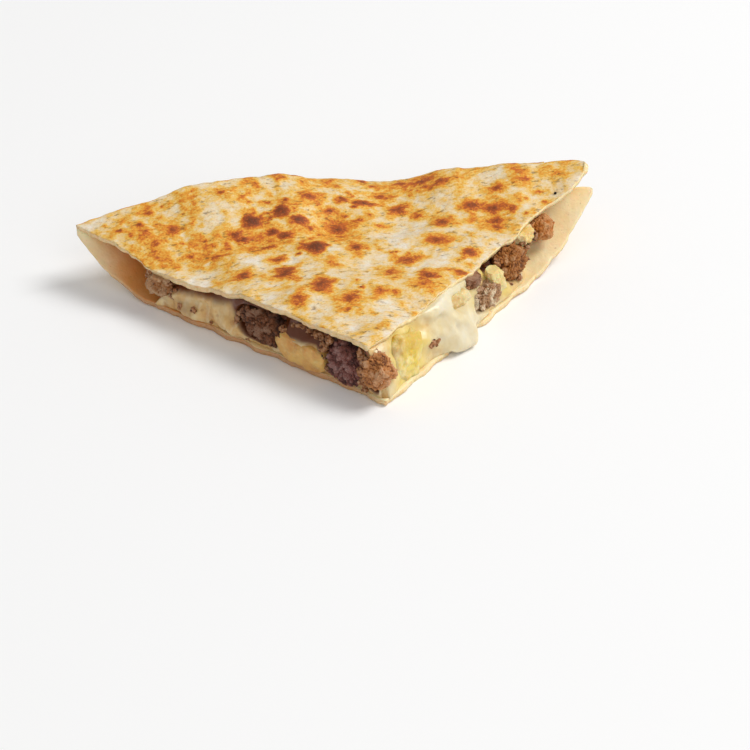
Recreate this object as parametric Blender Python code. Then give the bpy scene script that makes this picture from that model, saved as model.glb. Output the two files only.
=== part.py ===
"""A cut quarter of a gozleme: one thin sheet of griddled dough folded over melted cheese,
minced meat and potato. Two straight sides are cut and show the filling, and the third side
is the fold. Metres, +Z up. The belly of the lower layer lies on Z = 0, the front tip points
to -Y, the left tip to -X, and the fold is at the back.
"""

import math

import bmesh
import bpy
import numpy as np
from mathutils import Euler, Vector

# Driving sizes of the piece
LEFT_CUT = 0.132
RIGHT_CUT = 0.124
FOLD_BOW = 0.011
SHEET = 0.0018
SLANT = 0.0058
TIP_FOLD = 0.0044
CORNER_FOLD = 0.0086
CURL_LEFT = 0.028
CURL_RIGHT = 0.031
CORNER_SLIT = 0.92
FILLING_GAP = 0.0005
SOCKET_GAP = 0.0004
PIECE_GAP = 0.0006
PROUD = 0.0012
CRUMBS = 16

# The front tip, counted from the middle of the piece's box
FRONT_TIP = Vector((0.00283, -0.05210, 0.0))

# Plan directions of the left cut, the right cut and the fold's outer side
ALONG_LEFT = np.array([-math.sqrt(0.5), math.sqrt(0.5), 0.0])
ALONG_RIGHT = np.array([math.sqrt(0.5), math.sqrt(0.5), 0.0])
FOLD_SIDE = RIGHT_CUT * ALONG_LEFT + LEFT_CUT * ALONG_RIGHT
FOLD_SIDE = FOLD_SIDE / np.linalg.norm(FOLD_SIDE)
TIP_TO_FOLD = LEFT_CUT * RIGHT_CUT / math.hypot(LEFT_CUT, RIGHT_CUT)


def clear_scene():
    for thing in list(bpy.data.objects):
        bpy.data.objects.remove(thing, do_unlink=True)


# Heights of the two dough layers


def hump(x, centre, width):
    """A bell curve, 1 at its centre."""
    return np.exp(-(((x - centre) / width) ** 2))


def blend(x):
    """0 to 1, level at both ends."""
    x = np.clip(x, 0.0, 1.0)
    return x * x * (3.0 - 2.0 * x)


def shares(p, q):
    """Where a plan point lies: its share of the way from the tip to the fold, and from the
    left cut to the right cut. p and q are the distances along the two cuts."""
    outward = p / LEFT_CUT + q / RIGHT_CUT
    across = (q / RIGHT_CUT) / np.maximum(outward, 1e-6)
    return outward, across


def top_height(p, q):
    """The upper side of the upper layer. It sags between pieces of filling along both cuts,
    bulges over the filling at the back left, dips behind the middle and lifts at the right."""
    outward, across = shares(p, q)
    left = 0.0209 - 0.0050 * hump(outward, 0.66, 0.17) - 0.0012 * hump(outward, 0.73, 0.04)
    right = 0.0199 - 0.0017 * hump(outward, 0.50, 0.10) + 0.0066 * blend((outward - 0.72) / 0.28)
    bulges = 0.0060 * hump(across, 0.27, 0.20) - 0.0044 * hump(across, 0.61, 0.11)
    crown = 0.0080 * np.sin(np.pi * across) * outward * (1.0 - outward)
    wave = 0.0005 * np.sin(p / 0.0052 + 1.3) * np.sin(q / 0.0064 + 0.4)
    return (1.0 - across) * left + across * right + outward**3 * bulges + crown + wave


def fold_height(across):
    """The outer height of the folded edge, thin at the left tip and open at the right."""
    return TIP_FOLD + (CORNER_FOLD - TIP_FOLD) * across + 0.0012 * np.sin(np.pi * across)


def bottom_height(p, q):
    """The lower side of the lower layer: flat, and curling up towards the fold."""
    outward, across = shares(p, q)
    edge_p, edge_q = LEFT_CUT * (1.0 - across), RIGHT_CUT * across
    edge = top_height(edge_p, edge_q) - fold_height(across)
    curl = CURL_LEFT + (CURL_RIGHT - CURL_LEFT) * across
    power = 2.6 - 0.6 * across
    from_fold = np.maximum(1.0 - outward, 0.0) * TIP_TO_FOLD
    return edge * np.clip(1.0 - from_fold / curl, 0.0, 1.0) ** power


def steepness(height, p, q):
    """How much taller than thick a sloping sheet is."""
    step = 0.0005
    here = height(p, q)
    slope_p = (height(p + step, q) - here) / step
    slope_q = (height(p, q + step) - here) / step
    return np.sqrt(1.0 + slope_p**2 + slope_q**2)


def inner_heights(p, q, gap):
    """The space between the layers, less a gap at both."""
    low = bottom_height(p, q) + (SHEET + gap) * steepness(bottom_height, p, q)
    high = top_height(p, q) - (SHEET + gap) * steepness(top_height, p, q)
    return low, high


def plan_point(p, q, upper):
    """The plan place of a point. The fold bows out, and the upper layer (upper = 1) stops
    short of the lower one (upper = 0) along the right cut, because the knife leaned."""
    outward, across = shares(p, q)
    bow = FOLD_BOW * np.sin(np.pi * across) * outward**2
    lean = SLANT * upper * (1.0 - p / LEFT_CUT)
    flat = np.multiply.outer(p + lean, ALONG_LEFT) + np.multiply.outer(q, ALONG_RIGHT)
    return flat + np.multiply.outer(bow, FOLD_SIDE)


# The folded sheet of dough

SHEET_CELLS = 20
NOSE_CELLS = 4
NOSE_RISE = math.radians(56.0)


def layer_points(cells, upper):
    """A square grid over the triangle: two of its sides are the cuts and the other two make
    the fold, so that the front tip is a plain corner."""
    a, b = np.meshgrid(np.linspace(0, 1, cells + 1), np.linspace(0, 1, cells + 1), indexing="ij")
    p = LEFT_CUT * a * (1.0 - b / 2.0)
    q = RIGHT_CUT * b * (1.0 - a / 2.0)
    points = plan_point(p, q, upper)
    points[..., 2] = top_height(p, q) if upper else bottom_height(p, q)
    return points


def back_rim(grid):
    """The grid's two fold sides as one row, from the left tip to the right corner."""
    return list(grid[-1, :]) + list(grid[-2::-1, -1])


def nose_point(low, high, share):
    """A point of the rounded fold between the layers: a cubic curve that leaves the lower
    layer as steeply as it curls and meets the upper one level."""
    reach = (high[2] - low[2]) * 0.55
    leave = low + reach * (FOLD_SIDE * math.cos(NOSE_RISE) + np.array([0, 0, math.sin(NOSE_RISE)]))
    arrive = high + reach * FOLD_SIDE
    rest = 1.0 - share
    return rest**3 * low + 3 * rest**2 * share * leave + 3 * rest * share**2 * arrive + share**3 * high


def grid_faces(mesh, rows):
    """Quads between neighbouring rows of vertices."""
    for first, second in zip(rows, rows[1:]):
        for i in range(len(first) - 1):
            mesh.faces.new((first[i], first[i + 1], second[i + 1], second[i]))


def make_dough():
    """The outer skin of the folded sheet, thickened inwards to one solid."""
    mesh = bmesh.new()
    lower_points = layer_points(SHEET_CELLS, 0)
    upper_points = layer_points(SHEET_CELLS, 1)
    lower = [[mesh.verts.new(point) for point in row] for row in lower_points]
    upper = [[mesh.verts.new(point) for point in row] for row in upper_points]
    grid_faces(mesh, lower)
    grid_faces(mesh, [row[::-1] for row in upper])

    low_rim = back_rim(np.array(lower, dtype=object))
    high_rim = back_rim(np.array(upper, dtype=object))
    joined = int(CORNER_SLIT * len(low_rim))
    rows = []
    for low, high in zip(low_rim[:joined], high_rim[:joined]):
        ends = np.array(low.co), np.array(high.co)
        between = [nose_point(*ends, k / NOSE_CELLS) for k in range(1, NOSE_CELLS)]
        rows.append([low] + [mesh.verts.new(point) for point in between] + [high])
    grid_faces(mesh, rows)

    bmesh.ops.recalc_face_normals(mesh, faces=mesh.faces)
    dough = solid_from(mesh, "dough", DOUGH)
    skin = dough.modifiers.new("Sheet thickness", "SOLIDIFY")
    skin.thickness = SHEET
    skin.offset = -1.0
    skin.use_quality_normals = True
    return dough


# Materials


def food_material(name, colour, roughness):
    material = bpy.data.materials.new(name)
    material.use_nodes = True
    surface = material.node_tree.nodes["Principled BSDF"]
    surface.inputs["Base Color"].default_value = (*colour, 1.0)
    surface.inputs["Roughness"].default_value = roughness
    surface.inputs["Metallic"].default_value = 0.0
    return material


def solid_from(mesh, name, material):
    """Turns a bmesh into a named object with one material, shaded smooth."""
    data = bpy.data.meshes.new(name)
    mesh.to_mesh(data)
    mesh.free()
    data.materials.append(material)
    data.shade_smooth()
    data.set_sharp_from_angle(angle=math.radians(40))
    thing = bpy.data.objects.new(name, data)
    bpy.context.scene.collection.objects.link(thing)
    return thing


# The melted cheese that fills the piece

CHEESE_CELLS = (12, 14, 4)
CHEESE_FRONT = 0.050
CHEESE_BACK = 0.71
CHEESE_SETBACK = 0.0020


def cheese_points(across, along, up):
    """Bends a block, -1 to 1 each way, to fill the space between the layers. Its two sides
    are the cut faces, where the cheese swells at middle height and draws back from the
    layers, and it has run out over the lower layer in one place on the right."""
    share = 0.5 + 0.5 * across
    back = CHEESE_BACK + 0.02 * share + 0.08 * np.sin(math.pi * share)
    outward = CHEESE_FRONT + (back - CHEESE_FRONT) * (0.5 + 0.5 * along)
    p = LEFT_CUT * outward * (1.0 - share)
    q = RIGHT_CUT * outward * share
    low, high = inner_heights(p, q, FILLING_GAP)
    points = plan_point(p, q, 0.5 + 0.5 * up)
    points[:, 2] = low + (high - low) * (0.5 + 0.5 * up)
    setback = np.minimum(CHEESE_SETBACK, 0.008 * outward) * np.abs(up) ** 3
    waves = 0.0007 * np.sin(outward * 43.0) + 0.0004 * np.sin(outward * 71.0 + 2.0)
    swell = (waves + 0.0006) * (1.0 - up * up) - setback
    runout = 0.0034 * hump(q, 0.038, 0.011) * (1.0 - up) * (1.2 + up) / 1.2
    points -= np.multiply.outer(ALONG_LEFT, (swell + runout) * np.maximum(across, 0.0) ** 6).T
    points -= np.multiply.outer(ALONG_RIGHT, swell * np.maximum(-across, 0.0) ** 6).T
    return points


def block_surface(mesh, cells):
    """The skin of a block of unit cells from -1 to 1, as one closed mesh."""
    corners = {}

    def corner(place):
        if place not in corners:
            corners[place] = mesh.verts.new([2.0 * i / n - 1.0 for i, n in zip(place, cells)])
        return corners[place]

    for axis in range(3):
        side_a, side_b = (axis + 1) % 3, (axis + 2) % 3
        for end in (0, cells[axis]):
            for i in range(cells[side_a]):
                for j in range(cells[side_b]):
                    around = [(i, j), (i + 1, j), (i + 1, j + 1), (i, j + 1)]
                    if end == 0:
                        around.reverse()
                    face = []
                    for first, second in around:
                        place = [0, 0, 0]
                        place[axis], place[side_a], place[side_b] = end, first, second
                        face.append(corner(tuple(place)))
                    mesh.faces.new(face)


def largest_body(mesh):
    """Drops the crumbs of cheese that the sockets have cut off from the rest."""
    left = set(mesh.verts)
    bodies = []
    while left:
        body = [left.pop()]
        for vertex in body:
            for edge in vertex.link_edges:
                other = edge.other_vert(vertex)
                if other in left:
                    left.remove(other)
                    body.append(other)
        bodies.append(body)
    bodies.sort(key=len)
    for body in bodies[:-1]:
        bmesh.ops.delete(mesh, geom=body, context="VERTS")


def make_cheese(pieces):
    """The cheese block with a socket for each piece of meat and potato in it."""
    mesh = bmesh.new()
    block_surface(mesh, CHEESE_CELLS)
    block = np.array([vertex.co for vertex in mesh.verts])
    for vertex, point in zip(mesh.verts, cheese_points(*block.T)):
        vertex.co = point
    bmesh.ops.recalc_face_normals(mesh, faces=mesh.faces)
    cheese = solid_from(mesh, "cheese", CHEESE)
    cutters = [make_piece(*place, grow=SOCKET_GAP) for place in pieces]
    for cutter in cutters:
        cut = cheese.modifiers.new("Socket", "BOOLEAN")
        cut.operation = "DIFFERENCE"
        cut.object = cutter
        cut.solver = "EXACT"
    whole = bmesh.new()
    whole.from_object(cheese, bpy.context.evaluated_depsgraph_get())
    largest_body(whole)
    cheese.modifiers.clear()
    whole.to_mesh(cheese.data)
    whole.free()
    cheese.data.set_sharp_from_angle(angle=math.radians(40))
    for cutter in cutters:
        bpy.data.objects.remove(cutter, do_unlink=True)
    return cheese


# Lumps of minced meat and slices of potato

GOLDEN = math.pi * (3.0 - math.sqrt(5.0))


def clump_reach(directions, radii, seed):
    """How far a clump of minced meat reaches in each direction: the furthest of the little
    balls that it is pressed together from, spread evenly over an ellipsoid and jittered."""
    draw = np.random.default_rng(seed)
    size = (radii[0] * radii[1] * radii[2]) ** (1.0 / 3.0)
    reach = np.full(len(directions), 0.55 * min(radii))
    for i in range(CRUMBS):
        z = 1.0 - 2.0 * (i + 0.5) / CRUMBS
        ring = math.sqrt(1.0 - z * z)
        turn = GOLDEN * i + draw.uniform(-0.3, 0.3)
        spot = np.array([ring * math.cos(turn), ring * math.sin(turn), z]) * radii
        centre = spot * draw.uniform(0.52, 0.68)
        ball = size * draw.uniform(0.36, 0.50)
        along = directions @ centre
        inside = ball**2 - centre @ centre + along**2
        reach = np.where(inside > 0.0, np.maximum(reach, along + np.sqrt(np.abs(inside))), reach)
    return reach


def slice_reach(directions, radii):
    """How far a potato slice reaches in each direction: a box with well rounded edges."""
    return (np.abs(directions / radii) ** 3.4).sum(axis=1) ** (-1.0 / 3.4)


def between_layers(points):
    """Presses points down and up so that they stay clear of both dough layers."""
    share = np.clip(points[:, 2] / 0.020, 0.0, 1.0)
    p, q = points @ ALONG_LEFT, points @ ALONG_RIGHT
    flat_p, flat_q = np.maximum(p, 0.0), np.maximum(q, 0.0)
    for _ in range(4):
        off = plan_point(flat_p, flat_q, share)
        flat_p = np.maximum(flat_p + p - off @ ALONG_LEFT, 0.0)
        flat_q = np.maximum(flat_q + q - off @ ALONG_RIGHT, 0.0)
    low, high = inner_heights(flat_p, flat_q, PIECE_GAP)
    pressed = points.copy()
    pressed[:, 2] = np.clip(points[:, 2], low, high)
    return pressed


def make_piece(label, side, along, depth, height, radii, turn, seed, grow=0.0):
    """A clump of meat or a slice of potato. It sits `along` a cut from the front tip, `depth`
    behind the cut face and at a height, turned by three angles in degrees. Its radii run
    along the cut, into the piece and up, and the knife has flattened what stood proud of the
    cut. A grown one is the cutter for its socket."""
    is_meat = label.startswith("meat")
    mesh = bmesh.new()
    bmesh.ops.create_icosphere(mesh, subdivisions=3, radius=1.0)
    directions = np.array([vertex.co.normalized() for vertex in mesh.verts])
    reach = clump_reach(directions, radii, seed) if is_meat else slice_reach(directions, radii)
    points = directions * (reach + grow)[:, None]
    tumble = np.array(Euler([math.radians(angle) for angle in turn]).to_matrix())
    points = points @ tumble.T
    past_cut = np.minimum(points[:, 1] + depth + PROUD + grow, 0.0)
    points[:, 1] -= 0.7 * past_cut
    run, inward = (ALONG_LEFT, ALONG_RIGHT) if side == "left" else (ALONG_RIGHT, ALONG_LEFT)
    lean = 0.0 if side == "left" else SLANT * height / 0.020
    centre = run * along + inward * (depth + lean) + np.array([0.0, 0.0, height])
    facing = np.column_stack((-run if side == "left" else run, inward, (0.0, 0.0, 1.0)))
    points = points @ facing.T + centre
    if not grow:
        points = between_layers(points)
    for vertex, point in zip(mesh.verts, points):
        vertex.co = point
    return solid_from(mesh, label, MEAT if is_meat else POTATO)


# label, cut side, along the cut, depth, height, radii, turn, seed
PIECES = [
    ("meat_left_back", "left", 0.0945, 0.0020, 0.0106, (0.0062, 0.0052, 0.0046), (0, 0, 10), 3),
    ("meat_left_middle", "left", 0.0512, 0.0022, 0.0108, (0.0096, 0.0066, 0.0072), (0, 8, 0), 5),
    ("potato_left", "left", 0.0343, 0.0016, 0.0076, (0.0090, 0.0048, 0.0064), (0, 14, 0), 0),
    ("meat_left_front", "left", 0.0166, 0.0024, 0.0098, (0.0078, 0.0060, 0.0086), (0, 0, 0), 8),
    ("meat_tip", "left", 0.0030, 0.0024, 0.0112, (0.0056, 0.0050, 0.0078), (0, 0, 20), 11),
    ("potato_tip", "right", 0.0150, 0.0016, 0.0088, (0.0066, 0.0042, 0.0076), (0, 20, 0), 0),
    ("potato_right", "right", 0.0450, 0.0020, 0.0138, (0.0062, 0.0036, 0.0032), (0, 10, 0), 0),
    ("meat_right_front", "right", 0.0584, 0.0026, 0.0068, (0.0066, 0.0054, 0.0046), (0, 0, 0), 17),
    ("meat_right_top", "right", 0.0562, 0.0022, 0.0154, (0.0042, 0.0040, 0.0028), (0, 0, 0), 19),
    ("potato_stick", "right", 0.0662, -0.0004, 0.0116, (0.0025, 0.0026, 0.0068), (0, -30, 0), 0),
    ("meat_right_middle", "right", 0.0780, 0.0030, 0.0108, (0.0078, 0.0060, 0.0072), (0, 0, 0), 23),
    ("potato_right_back", "right", 0.0888, 0.0024, 0.0170, (0.0034, 0.0032, 0.0022), (0, 0, 0), 0),
    ("meat_right_back", "right", 0.0982, 0.0020, 0.0142, (0.0060, 0.0050, 0.0044), (0, 14, 0), 29),
]


clear_scene()
DOUGH = food_material("griddled dough", (0.80, 0.62, 0.38), 0.62)
CHEESE = food_material("melted cheese", (0.85, 0.76, 0.50), 0.38)
MEAT = food_material("minced meat", (0.20, 0.10, 0.06), 0.70)
POTATO = food_material("cooked potato", (0.80, 0.62, 0.20), 0.50)
ORIGIN = bpy.data.objects.new("front_tip", None)
bpy.context.scene.collection.objects.link(ORIGIN)
ORIGIN.location = FRONT_TIP
PARTS = [make_cheese(PIECES), make_dough()] + [make_piece(*place) for place in PIECES]
for part in PARTS:
    part.parent = ORIGIN
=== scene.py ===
"""A cut wedge of gozleme: thin dough folded over melted cheese, minced meat and potato, griddled
dry until it browns in spots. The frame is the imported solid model; every piece here stands in
for one of its nodes, or lies on one. Metres, +Z up, the front tip towards -Y.
"""

import math

import bmesh
import bpy
import numpy as np
from mathutils import Euler, Matrix, Vector


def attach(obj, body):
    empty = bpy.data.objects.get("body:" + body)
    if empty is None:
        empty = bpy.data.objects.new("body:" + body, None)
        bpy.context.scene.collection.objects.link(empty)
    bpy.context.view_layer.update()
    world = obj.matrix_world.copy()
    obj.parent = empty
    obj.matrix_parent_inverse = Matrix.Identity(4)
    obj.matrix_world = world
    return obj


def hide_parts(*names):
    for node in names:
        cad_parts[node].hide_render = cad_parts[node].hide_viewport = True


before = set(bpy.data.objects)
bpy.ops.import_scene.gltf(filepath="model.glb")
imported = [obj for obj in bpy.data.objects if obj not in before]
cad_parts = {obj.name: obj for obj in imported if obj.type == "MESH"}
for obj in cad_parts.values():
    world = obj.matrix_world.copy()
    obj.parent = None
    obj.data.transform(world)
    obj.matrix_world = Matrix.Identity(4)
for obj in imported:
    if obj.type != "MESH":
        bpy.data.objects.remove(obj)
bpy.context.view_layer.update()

# The shape of the wedge
# A quarter cut out of a folded round: two straight cuts meet at the front tip, and the third
# side is the fold. The lower layer is flat and curls up at the fold; the upper one lies over
# the filling. p and q are the distances from the tip along the left and the right cut.

LEFT_CUT = 0.132
RIGHT_CUT = 0.124
FOLD_BOW = 0.011
SHEET = 0.0018
SLANT = 0.0058
TIP_FOLD = 0.0044
CORNER_FOLD = 0.0086
FOLD_SWELL = 0.0012
CURL_LEFT = 0.028
CURL_RIGHT = 0.031
CURL_POWERS = (2.6, 2.0)
LEFT_TOP = 0.0209
LEFT_SAGS = ((-0.0050, 0.66, 0.17), (-0.0012, 0.73, 0.04))
RIGHT_TOP = 0.0199
RIGHT_SAGS = ((-0.0017, 0.50, 0.10),)
RIGHT_LIFT = 0.0066
RIGHT_LIFT_FROM = 0.72
BACK_BULGES = ((0.0060, 0.27, 0.20), (-0.0044, 0.61, 0.11))
CROWN = 0.0080
RIPPLE = 0.0005
WAVES = 18
FRONT_TIP = np.array([0.00283, -0.05210, 0.0])
ALONG_LEFT = np.array([-math.sqrt(0.5), math.sqrt(0.5), 0.0])
ALONG_RIGHT = np.array([math.sqrt(0.5), math.sqrt(0.5), 0.0])
FOLD_SIDE = RIGHT_CUT * ALONG_LEFT + LEFT_CUT * ALONG_RIGHT
FOLD_SIDE = FOLD_SIDE / np.linalg.norm(FOLD_SIDE)
TIP_TO_FOLD = LEFT_CUT * RIGHT_CUT / math.hypot(LEFT_CUT, RIGHT_CUT)


def hump(x, centre, width):
    """A bell curve: e to the minus square of the distance from its centre, in widths."""
    return np.exp(-(((x - centre) / width) ** 2))


def humps(x, rows):
    """Bell curves added: each row is a height, a centre and a width."""
    return sum(height * hump(x, centre, width) for height, centre, width in rows)


def blend(x):
    """0 to 1, level at both ends: three squares less two cubes."""
    x = np.clip(x, 0.0, 1.0)
    return x * x * (3.0 - 2.0 * x)


def shares(p, q):
    """The share of the way from the tip to the fold, p and q each over its own cut, added; and
    the share of the way from the left cut to the right cut, which is q's part of that sum."""
    outward = p / LEFT_CUT + q / RIGHT_CUT
    across = (q / RIGHT_CUT) / np.maximum(outward, 1e-6)
    return outward, across


def top_height(p, q):
    """A blend across of the two cuts' own heights, each a level less the sags between pieces
    of filling, plus bulges that grow as the cube of the way out, a crown and small waves."""
    outward, across = shares(p, q)
    left = LEFT_TOP + humps(outward, LEFT_SAGS)
    right = RIGHT_TOP + humps(outward, RIGHT_SAGS)
    right = right + RIGHT_LIFT * blend((outward - RIGHT_LIFT_FROM) / (1.0 - RIGHT_LIFT_FROM))
    bulges = outward**3 * humps(across, BACK_BULGES)
    crown = CROWN * np.sin(np.pi * across) * outward * (1.0 - outward)
    ripple = RIPPLE * np.sin(p / 0.0052 + 1.3) * np.sin(q / 0.0064 + 0.4)
    return (1.0 - across) * left + across * right + bulges + crown + ripple


def fold_height(across):
    """The fold's outer height: it widens evenly from the left tip, with a half sine added."""
    return TIP_FOLD + (CORNER_FOLD - TIP_FOLD) * across + FOLD_SWELL * np.sin(np.pi * across)


def bottom_height(p, q):
    """Nought where flat, then a power of the way into the curl, up to the fold's underside."""
    outward, across = shares(p, q)
    edge = top_height(LEFT_CUT * (1.0 - across), RIGHT_CUT * across) - fold_height(across)
    curl = CURL_LEFT + (CURL_RIGHT - CURL_LEFT) * across
    power = CURL_POWERS[0] + (CURL_POWERS[1] - CURL_POWERS[0]) * across
    from_fold = np.maximum(1.0 - outward, 0.0) * TIP_TO_FOLD
    return edge * np.clip(1.0 - from_fold / curl, 0.0, 1.0) ** power


def plan_point(p, q, upper):
    """p and q along their cuts, plus the fold's bow as a half sine, plus the knife's lean,
    which sets the upper layer (upper = 1) back from the lower one (upper = 0) at the right."""
    outward, across = shares(p, q)
    bow = FOLD_BOW * np.sin(np.pi * across) * outward**2
    lean = SLANT * upper * (1.0 - p / LEFT_CUT)
    flat = np.multiply.outer(p + lean, ALONG_LEFT) + np.multiply.outer(q, ALONG_RIGHT)
    return flat + np.multiply.outer(bow, FOLD_SIDE)


def steepness(height, p, q):
    """How much taller than thick a sloping sheet is: the root of one plus its slopes squared."""
    step = 0.0005
    here = height(p, q)
    slope_p = (height(p + step, q) - here) / step
    slope_q = (height(p, q + step) - here) / step
    return np.sqrt(1.0 + slope_p**2 + slope_q**2)


def inner_heights(p, q, gap):
    """The space between the layers: their heights, each moved in by the sheet and a gap."""
    low = bottom_height(p, q) + (SHEET + gap) * steepness(bottom_height, p, q)
    high = top_height(p, q) - (SHEET + gap) * steepness(top_height, p, q)
    return low, high


def uneven(places, size, seed):
    """Soft random relief, about -1 to 1: the sum of plane waves of about one length, `size`,
    in random directions and phases, over the root of half their number."""
    draw = np.random.default_rng(seed)
    ways = draw.normal(size=(places.shape[-1], WAVES))
    ways *= 2.0 * np.pi / (size * draw.uniform(0.7, 1.6, WAVES) * np.linalg.norm(ways, axis=0))
    phases = draw.uniform(0.0, 2.0 * np.pi, WAVES)
    return np.sin(places @ ways + phases).sum(axis=-1) / math.sqrt(WAVES / 2.0)


def relief(places, rows):
    """Layers of soft random relief added: each row is a height, a size and a seed."""
    return sum(height * uneven(places, size, seed) for height, size, seed in rows)


def put(name, data):
    """Puts an object of a mesh, a light or a camera in the scene."""
    thing = bpy.data.objects.new(name, data)
    bpy.context.scene.collection.objects.link(thing)
    return thing


def new_piece(name, points, faces, materials, replaced=()):
    """Puts an array of points and a list of faces into a mesh piece that rides with the wedge."""
    mesh = bpy.data.meshes.new(name)
    mesh.from_pydata((points + FRONT_TIP).tolist(), [], faces)
    mesh.shade_smooth()
    for material in materials:
        mesh.materials.append(material)
    piece = put(name, mesh)
    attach(piece, "root")
    for node in replaced:
        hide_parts(node)
    return piece


def paint(piece, name, values):
    """Keeps one number for each point, which a material then reads."""
    kept = piece.data.attributes.new(name, "FLOAT", "POINT")
    kept.data.foreach_set("value", values.astype(np.float32))


def grid_faces(rows):
    """Four-sided faces between neighbours in a grid of point numbers."""
    return np.stack((rows[:-1, :-1], rows[:-1, 1:], rows[1:, 1:], rows[1:, :-1]), -1).reshape(-1, 4)


# The griddle's browning
# Where the rolled dough rose and touched the hot plate it is browned, in round spots with a
# dark middle and an orange rim; between them it stays pale and floury. The left and the fold
# side lay hottest. Each row is a place in millimetres from the front tip, right and back, then
# the two radii and the strength in hundredths.

SPOTS = (
    (-34, 81.6, 4.2, 3.3, 98), (-23.7, 84.2, 3.2, 3.0, 96), (-18, 80.4, 3.5, 2.1, 90),
    (-39.7, 76.8, 3.2, 1.7, 86), (-37.6, 74.8, 2.6, 1.5, 86), (-27.1, 76.6, 3.0, 1.9, 80),
    (-23.3, 74.5, 3.4, 2.1, 84), (-14.1, 65.2, 4.8, 4.2, 94), (-19.9, 62.6, 1.5, 0.9, 80),
    (-29, 69.5, 3.6, 1.7, 60), (-4.1, 77.6, 5.1, 4.8, 56), (-0.4, 64.2, 3, 3.8, 70),
    (-10.3, 55.7, 5, 4.8, 42), (-27.8, 61.5, 2.3, 2.2, 66), (-25.5, 51.7, 4, 5, 74),
    (-40, 54.2, 3.1, 3.2, 62), (-14.8, 40.6, 3.9, 4.9, 72), (-3.2, 41, 2.3, 3, 42),
    (-2.5, 36.5, 1.3, 0.8, 75), (8.5, 46.5, 2.8, 3.3, 55), (15.5, 54.3, 4.6, 3.4, 72),
    (12.8, 59.1, 2.4, 0.8, 50), (-1.5, 90.5, 2.6, 1.5, 66), (5.9, 88.8, 4.1, 1.6, 72),
    (2.2, 86.9, 1.5, 1, 80), (12.1, 92.8, 4, 1.9, 58), (17.5, 84.4, 3.7, 3.1, 70),
    (-6.3, 85.9, 2.3, 1.6, 60), (7.1, 82.4, 2.2, 1.7, 48), (-1.2, 83.1, 1.4, 0.9, 62),
    (2.3, 80.5, 2.2, 1, 66), (9.4, 77.5, 2.3, 0.9, 52), (-14, 77.1, 1.4, 1.5, 66),
    (-18.5, 84.6, 1.5, 1.5, 45), (-12.8, 91.3, 3.9, 2.8, 60), (-35.5, 92.4, 2.1, 1.7, 50),
    (-34, 90.3, 1.4, 0.8, 55), (-27.2, 89.6, 2.9, 1.3, 50), (-21, 89.5, 1.2, 1.1, 62),
    (-2.9, 103.5, 4.2, 2, 45), (7.3, 103.2, 2.9, 1.4, 50), (10.2, 99.1, 2.5, 1.7, 50),
    (-42.4, 95.3, 3.4, 2.1, 52), (-63.4, 94.7, 1.7, 1.6, 46), (-67.8, 92.2, 1.5, 1.2, 62),
    (-65.2, 89.8, 1.4, 0.8, 50), (-71.9, 87.6, 1.5, 1.4, 60), (-60.7, 82.8, 2, 2.1, 58),
    (-51.1, 82, 2.2, 2, 40), (-75, 82.5, 2.2, 2.1, 45), (-67.3, 77.8, 2, 1.5, 58),
    (-67.5, 72.6, 2.5, 1.2, 48), (-55.8, 71.6, 2.3, 0.8, 60), (-47.1, 68.8, 3.9, 1.4, 58),
    (-48.2, 74.5, 1.5, 0.8, 60), (-50.4, 76.4, 1.5, 0.8, 50), (-60.6, 66.7, 2, 1.5, 40),
    (-83.8, 90.4, 1.5, 1.3, 40), (-23.9, 33.6, 3.2, 2.3, 66), (-6.9, 30.7, 3.8, 3.2, 60),
    (3.4, 33.8, 2.1, 2.2, 62), (8.4, 32.3, 1.8, 1.5, 50), (-7.4, 29.7, 1.6, 1.3, 70),
    (20.8, 41.5, 4.6, 3.5, 72), (18.5, 35.5, 3.6, 2.9, 55), (31.2, 43.3, 1.9, 2.1, 60),
    (27.5, 63.3, 4, 2.6, 60), (36.9, 54.2, 3.3, 2.4, 68), (31.1, 73.8, 3.5, 3.5, 68),
    (23.7, 80, 2, 2, 62), (42.6, 79.9, 4.1, 2.4, 69), (49.5, 77.3, 4.3, 2.1, 71),
    (55.4, 75.4, 2, 2, 64), (49.4, 71.5, 3.6, 2.4, 67), (48.4, 68.1, 4.3, 3.2, 50),
    (52.2, 85.8, 2.8, 1.4, 58), (67.1, 77.7, 3.4, 2.3, 42), (61.1, 79.5, 1.8, 1.5, 42),
    (59.6, 71.8, 1.3, 1, 50), (62.4, 87.6, 2.5, 0.8, 45), (59.4, 90.2, 2.4, 1.2, 42),
    (27, 97.5, 6, 4.2, 62), (34, 94, 6.5, 3.4, 52), (20, 99.5, 4.5, 2.6, 56),
    (-53, 92, 2.4, 1.6, 50), (-70, 83.5, 1.9, 1.5, 52), (-79, 86, 2, 1.5, 50),
    (-58, 76.5, 2.2, 1.3, 50), (66, 82, 2.6, 1.3, 48),
)
WASHES = (
    (-28, 76, 22, 13, 22), (-66, 77, 20, 12, 13), (-50, 68, 16, 6, 10), (29, 97, 14, 8, 18),
    (46, 77, 15, 8, 14), (70, 90, 15, 6, 20), (-12, 103, 26, 6, 16), (-60, 93, 20, 6, 12),
    (-84, 91, 7, 6, -2), (-78, 80, 8, 6, 7), (-46, 87, 6, 7, -24), (-10, 91, 7, 4, -16),
    (46, 90, 7, 4, -16), (71, 84, 8, 4, -12), (-29, 60, 14, 5, -20), (8, 24, 16, 12, -5),
    (16, 71, 12, 8, -14), (32, 61, 12, 8, -12), (-58, 62, 9, 4, -12), (0, 50, 14, 8, -12),
    (36, 84, 9, 6, -8), (-8, 23, 10, 6, 6), (-77, 88, 5, 3, -8),
)
PLAIN_BROWNING = 0.262
PLAIN_MOTTLE = ((0.07, 0.012, 21), (0.05, 0.0048, 22))
PLAIN_LIMITS = (0.04, 0.47)
RIM_BROWNING = 0.465
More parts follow.
